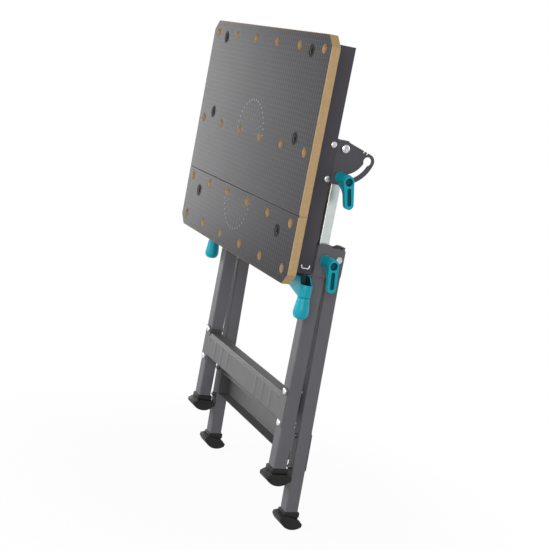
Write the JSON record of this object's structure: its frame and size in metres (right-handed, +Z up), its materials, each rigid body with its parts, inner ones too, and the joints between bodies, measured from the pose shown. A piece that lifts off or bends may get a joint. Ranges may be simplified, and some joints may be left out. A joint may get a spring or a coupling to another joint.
{
  "type": "folding workbench",
  "caption": "Folding portable workbench with a tilting two-jaw clamping worktop on a height-adjustable trestle, folded flat.",
  "frame": {"origin": "middle of the folded bench's box, at the floor line under the rear feet", "axes": "+X to the bench's right end, +Y from the worktop's face to the back, +Z up along the folded legs"},
  "size_m": [0.65, 0.1758, 1.006],
  "materials": {
    "worktop_board": "printed dark fibreboard with tan edges",
    "dark_steel": "dark grey powder coat",
    "grey_steel": "grey powder coat",
    "light_steel": "light grey powder coat",
    "zinc": "bright zinc plating",
    "teal_plastic": "teal moulded plastic",
    "black_plastic": "black moulded plastic"
  },
  "bodies": {
    "front_frame": {"front_leg_left": "grey_steel", "front_leg_right": "grey_steel", "guide_bushes": "black_plastic", "leg_plates_left": "grey_steel", "leg_plates_right": "grey_steel", "height_screws": "zinc", "fold_bolts": "zinc", "fold_nuts": "zinc", "front_tread": "light_steel", "front_tread_bolts": "zinc", "front_tread_nuts": "zinc", "front_foot_left": "black_plastic", "front_foot_right": "black_plastic"},
    "rear_frame": {"rear_leg_left": "grey_steel", "rear_leg_right": "grey_steel", "rear_leg_caps": "black_plastic", "rear_tread": "grey_steel", "rear_tread_bolts": "zinc", "rear_tread_nuts": "zinc", "rear_foot_left": "black_plastic", "rear_foot_right": "black_plastic"},
    "carriage": {"height_tube_left": "zinc", "height_tube_right": "zinc", "height_tube_plugs": "black_plastic", "height_tube_shoes": "black_plastic", "pivot_crossbar": "zinc", "pivot_bolts": "zinc", "pivot_spacers": "zinc", "tilt_bolts": "zinc", "tilt_washers": "zinc"},
    "table": {"front_jaw": "worktop_board", "front_jaw_screws": "zinc", "rail_left": "dark_steel", "rail_right": "dark_steel", "spindle_bearings": "black_plastic", "bearing_clips": "zinc", "quadrant_left": "dark_steel", "quadrant_right": "dark_steel", "pivot_plates": "dark_steel", "quadrant_screws": "zinc"},
    "rear_jaw": {"rear_jaw": "worktop_board", "rear_jaw_screws": "zinc", "carrier_left": "grey_steel", "carrier_right": "grey_steel", "spindle_nuts": "zinc"},
    "spindle_left": {"spindle_left": "zinc"},
    "spindle_right": {"spindle_right": "zinc"},
    "crank_left": {"crank_left": "teal_plastic", "crank_pin_left": "zinc"},
    "crank_right": {"crank_right": "teal_plastic", "crank_pin_right": "zinc"},
    "grip_left": {"crank_grip_left": "teal_plastic"},
    "grip_right": {"crank_grip_right": "teal_plastic"},
    "tilt_lever_left": {"tilt_lever_left": "teal_plastic"},
    "tilt_lever_right": {"tilt_lever_right": "teal_plastic"},
    "height_lever_left": {"height_lever_left": "teal_plastic"},
    "height_lever_right": {"height_lever_right": "teal_plastic"}
  },
  "joints": [
    {"name": "rear_leg_fold", "type": "hinge", "parent": "front_frame", "child": "rear_frame", "pos_m": [0, 0.0481, 0.57699], "axis": [1, 0, 0], "range_deg": [0, 53.6]},
    {"name": "height_slide", "type": "slide", "parent": "front_frame", "child": "carriage", "axis": [0, 0, 1], "range_m": [0, 0.18]},
    {"name": "table_tilt", "type": "hinge", "parent": "carriage", "child": "table", "pos_m": [0, 0.0146, 0.79799], "axis": [-1, 0, 0], "range_deg": [0, 71.4]},
    {"name": "jaw_slide", "type": "slide", "parent": "table", "child": "rear_jaw", "axis": [0, 0, 1], "range_m": [0, 0.108]},
    {"name": "spindle_turn_left", "type": "hinge", "parent": "table", "child": "spindle_left", "pos_m": [-0.237, -0.0239, 0.62599], "axis": [0, 0, 1], "range_deg": [0, 6480.5]},
    {"name": "spindle_turn_right", "type": "hinge", "parent": "table", "child": "spindle_right", "pos_m": [0.237, -0.0239, 0.62599], "axis": [0, 0, 1], "range_deg": [0, 6480.5]},
    {"name": "crank_swing_right", "type": "hinge", "parent": "table", "child": "crank_right", "pos_m": [0.237, -0.0239, 0.52599], "axis": [0, 0, 1], "range_deg": [-195, 15]},
    {"name": "crank_swing_left", "type": "hinge", "parent": "table", "child": "crank_left", "pos_m": [-0.237, -0.0239, 0.52599], "axis": [0, 0, -1], "range_deg": [-210, 0]},
    {"name": "grip_turn_right", "type": "hinge", "parent": "crank_right", "child": "grip_right", "pos_m": [0.282, -0.0239, 0.47599], "axis": [0, 0, 1], "continuous": true},
    {"name": "grip_turn_left", "type": "hinge", "parent": "crank_left", "child": "grip_left", "pos_m": [-0.28047, -0.01226, 0.47599], "axis": [0, 0, 1], "continuous": true},
    {"name": "tilt_clamp_left", "type": "hinge", "parent": "carriage", "child": "tilt_lever_left", "pos_m": [-0.28, 0.0146, 0.74099], "axis": [1, 0, 0], "range_deg": [0, 100]},
    {"name": "tilt_clamp_right", "type": "hinge", "parent": "carriage", "child": "tilt_lever_right", "pos_m": [0.28, 0.0146, 0.74099], "axis": [1, 0, 0], "range_deg": [0, 100]},
    {"name": "height_clamp_left", "type": "hinge", "parent": "front_frame", "child": "height_lever_left", "pos_m": [-0.28, 0.0191, 0.57349], "axis": [1, 0, 0], "range_deg": [0, 100]},
    {"name": "height_clamp_right", "type": "hinge", "parent": "front_frame", "child": "height_lever_right", "pos_m": [0.28, 0.0191, 0.57349], "axis": [1, 0, 0], "range_deg": [0, 100]}
  ],
  "couplings": [
    {"joint": "spindle_turn_left", "follows": "jaw_slide", "rad_per_m": 1047.2},
    {"joint": "spindle_turn_right", "follows": "jaw_slide", "rad_per_m": 1047.2}
  ]
}
